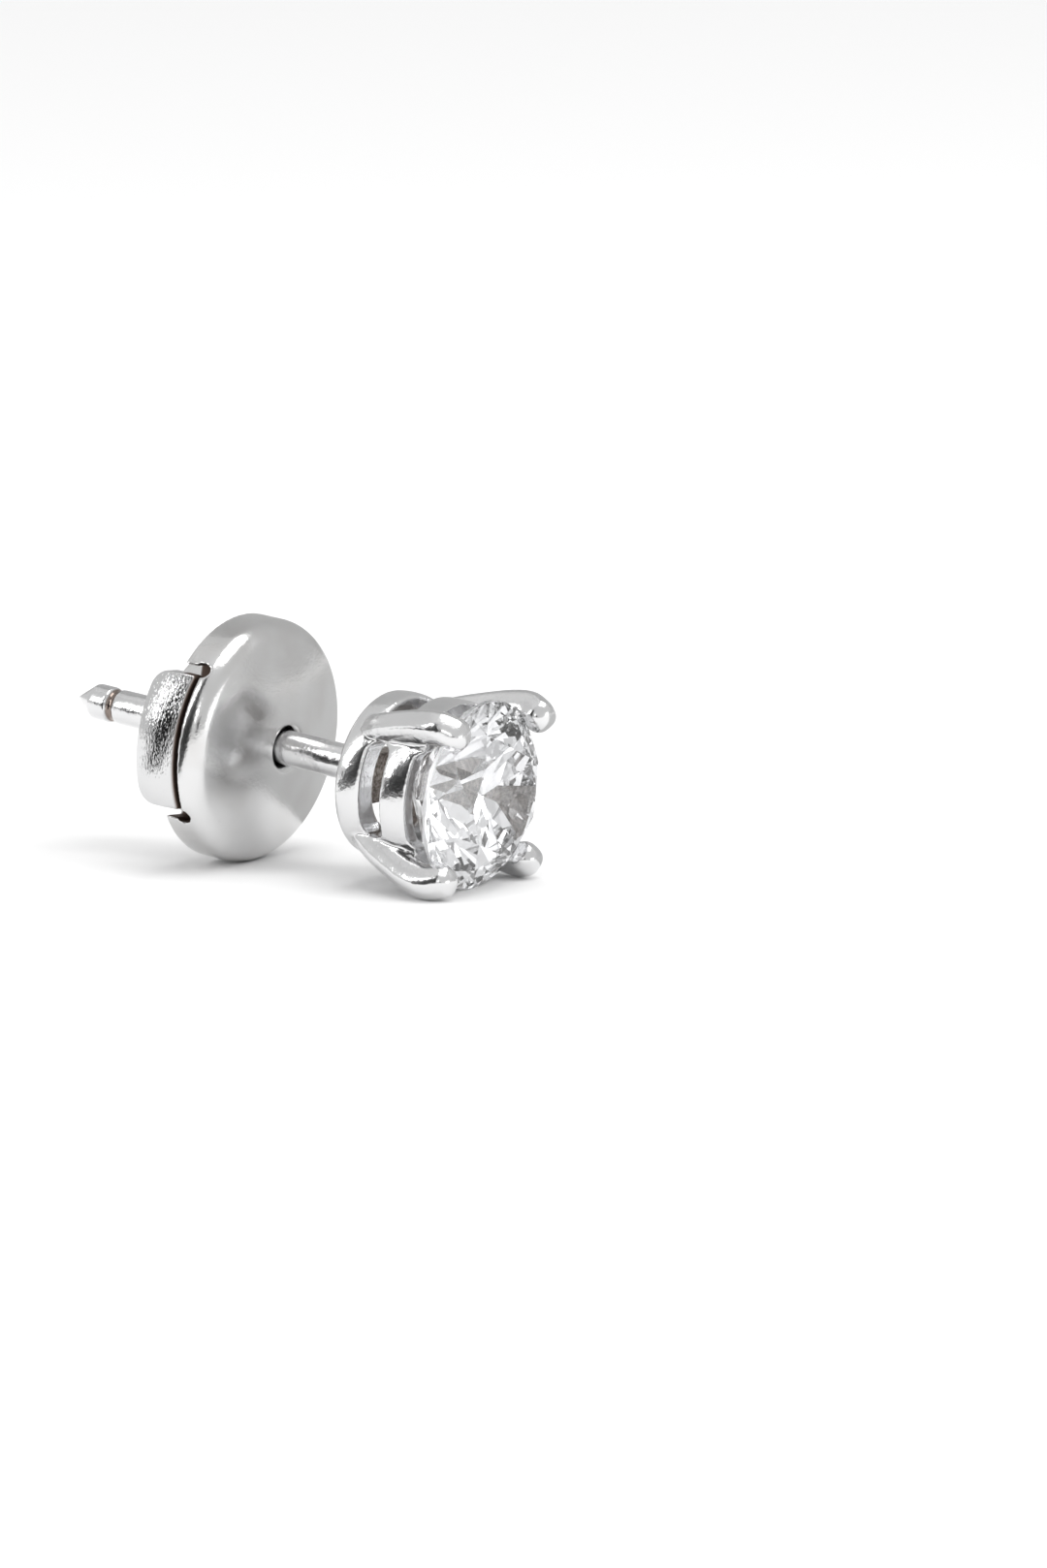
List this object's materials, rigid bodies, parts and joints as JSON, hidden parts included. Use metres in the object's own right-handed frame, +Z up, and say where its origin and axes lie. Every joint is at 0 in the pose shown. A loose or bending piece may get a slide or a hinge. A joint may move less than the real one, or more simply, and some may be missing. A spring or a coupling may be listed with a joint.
{
  "type": "stud earring",
  "caption": "Stud earring: a clear round brilliant-cut stone in a white metal claw basket on a straight post, with a removable round safety back that has spring push buttons.",
  "frame": {"origin": "middle of the underside of the bounding box, on the surface the earring lies on", "axes": "+Z up from that surface; +Y from the stone to the post's tip, along the post seen from above; +X from the near push button to the far one"},
  "size_m": [0.0072, 0.015, 0.007],
  "materials": {
    "polished_white_metal": "cast and polished, rhodium plated, with fine handling marks",
    "satin_white_metal": "fine satin on the dome, polished shoulder",
    "brushed_white_metal": "flat ground face with fine scratches",
    "clear_gemstone": "polished flat facets, finely bruted girdle"
  },
  "bodies": {
    "stud": {"setting_with_post": "polished_white_metal", "round_brilliant": "clear_gemstone"},
    "back": {"clutch_housing": "satin_white_metal"},
    "near_button": {"push_button_near": "brushed_white_metal"},
    "far_button": {"push_button_far": "brushed_white_metal"}
  },
  "joints": [
    {"name": "back_slide", "type": "slide", "parent": "stud", "child": "back", "axis": [0, 0.9941, 0.1083], "range_m": [-0.0031, 0.0076]},
    {"name": "near_button_press", "type": "slide", "parent": "back", "child": "near_button", "axis": [0.9962, 0.0094, -0.0866], "range_m": [0, 0.00045], "stiffness_N_per_m": 300},
    {"name": "far_button_press", "type": "slide", "parent": "back", "child": "far_button", "axis": [-0.9962, -0.0094, 0.0866], "range_m": [0, 0.00045], "stiffness_N_per_m": 300}
  ]
}
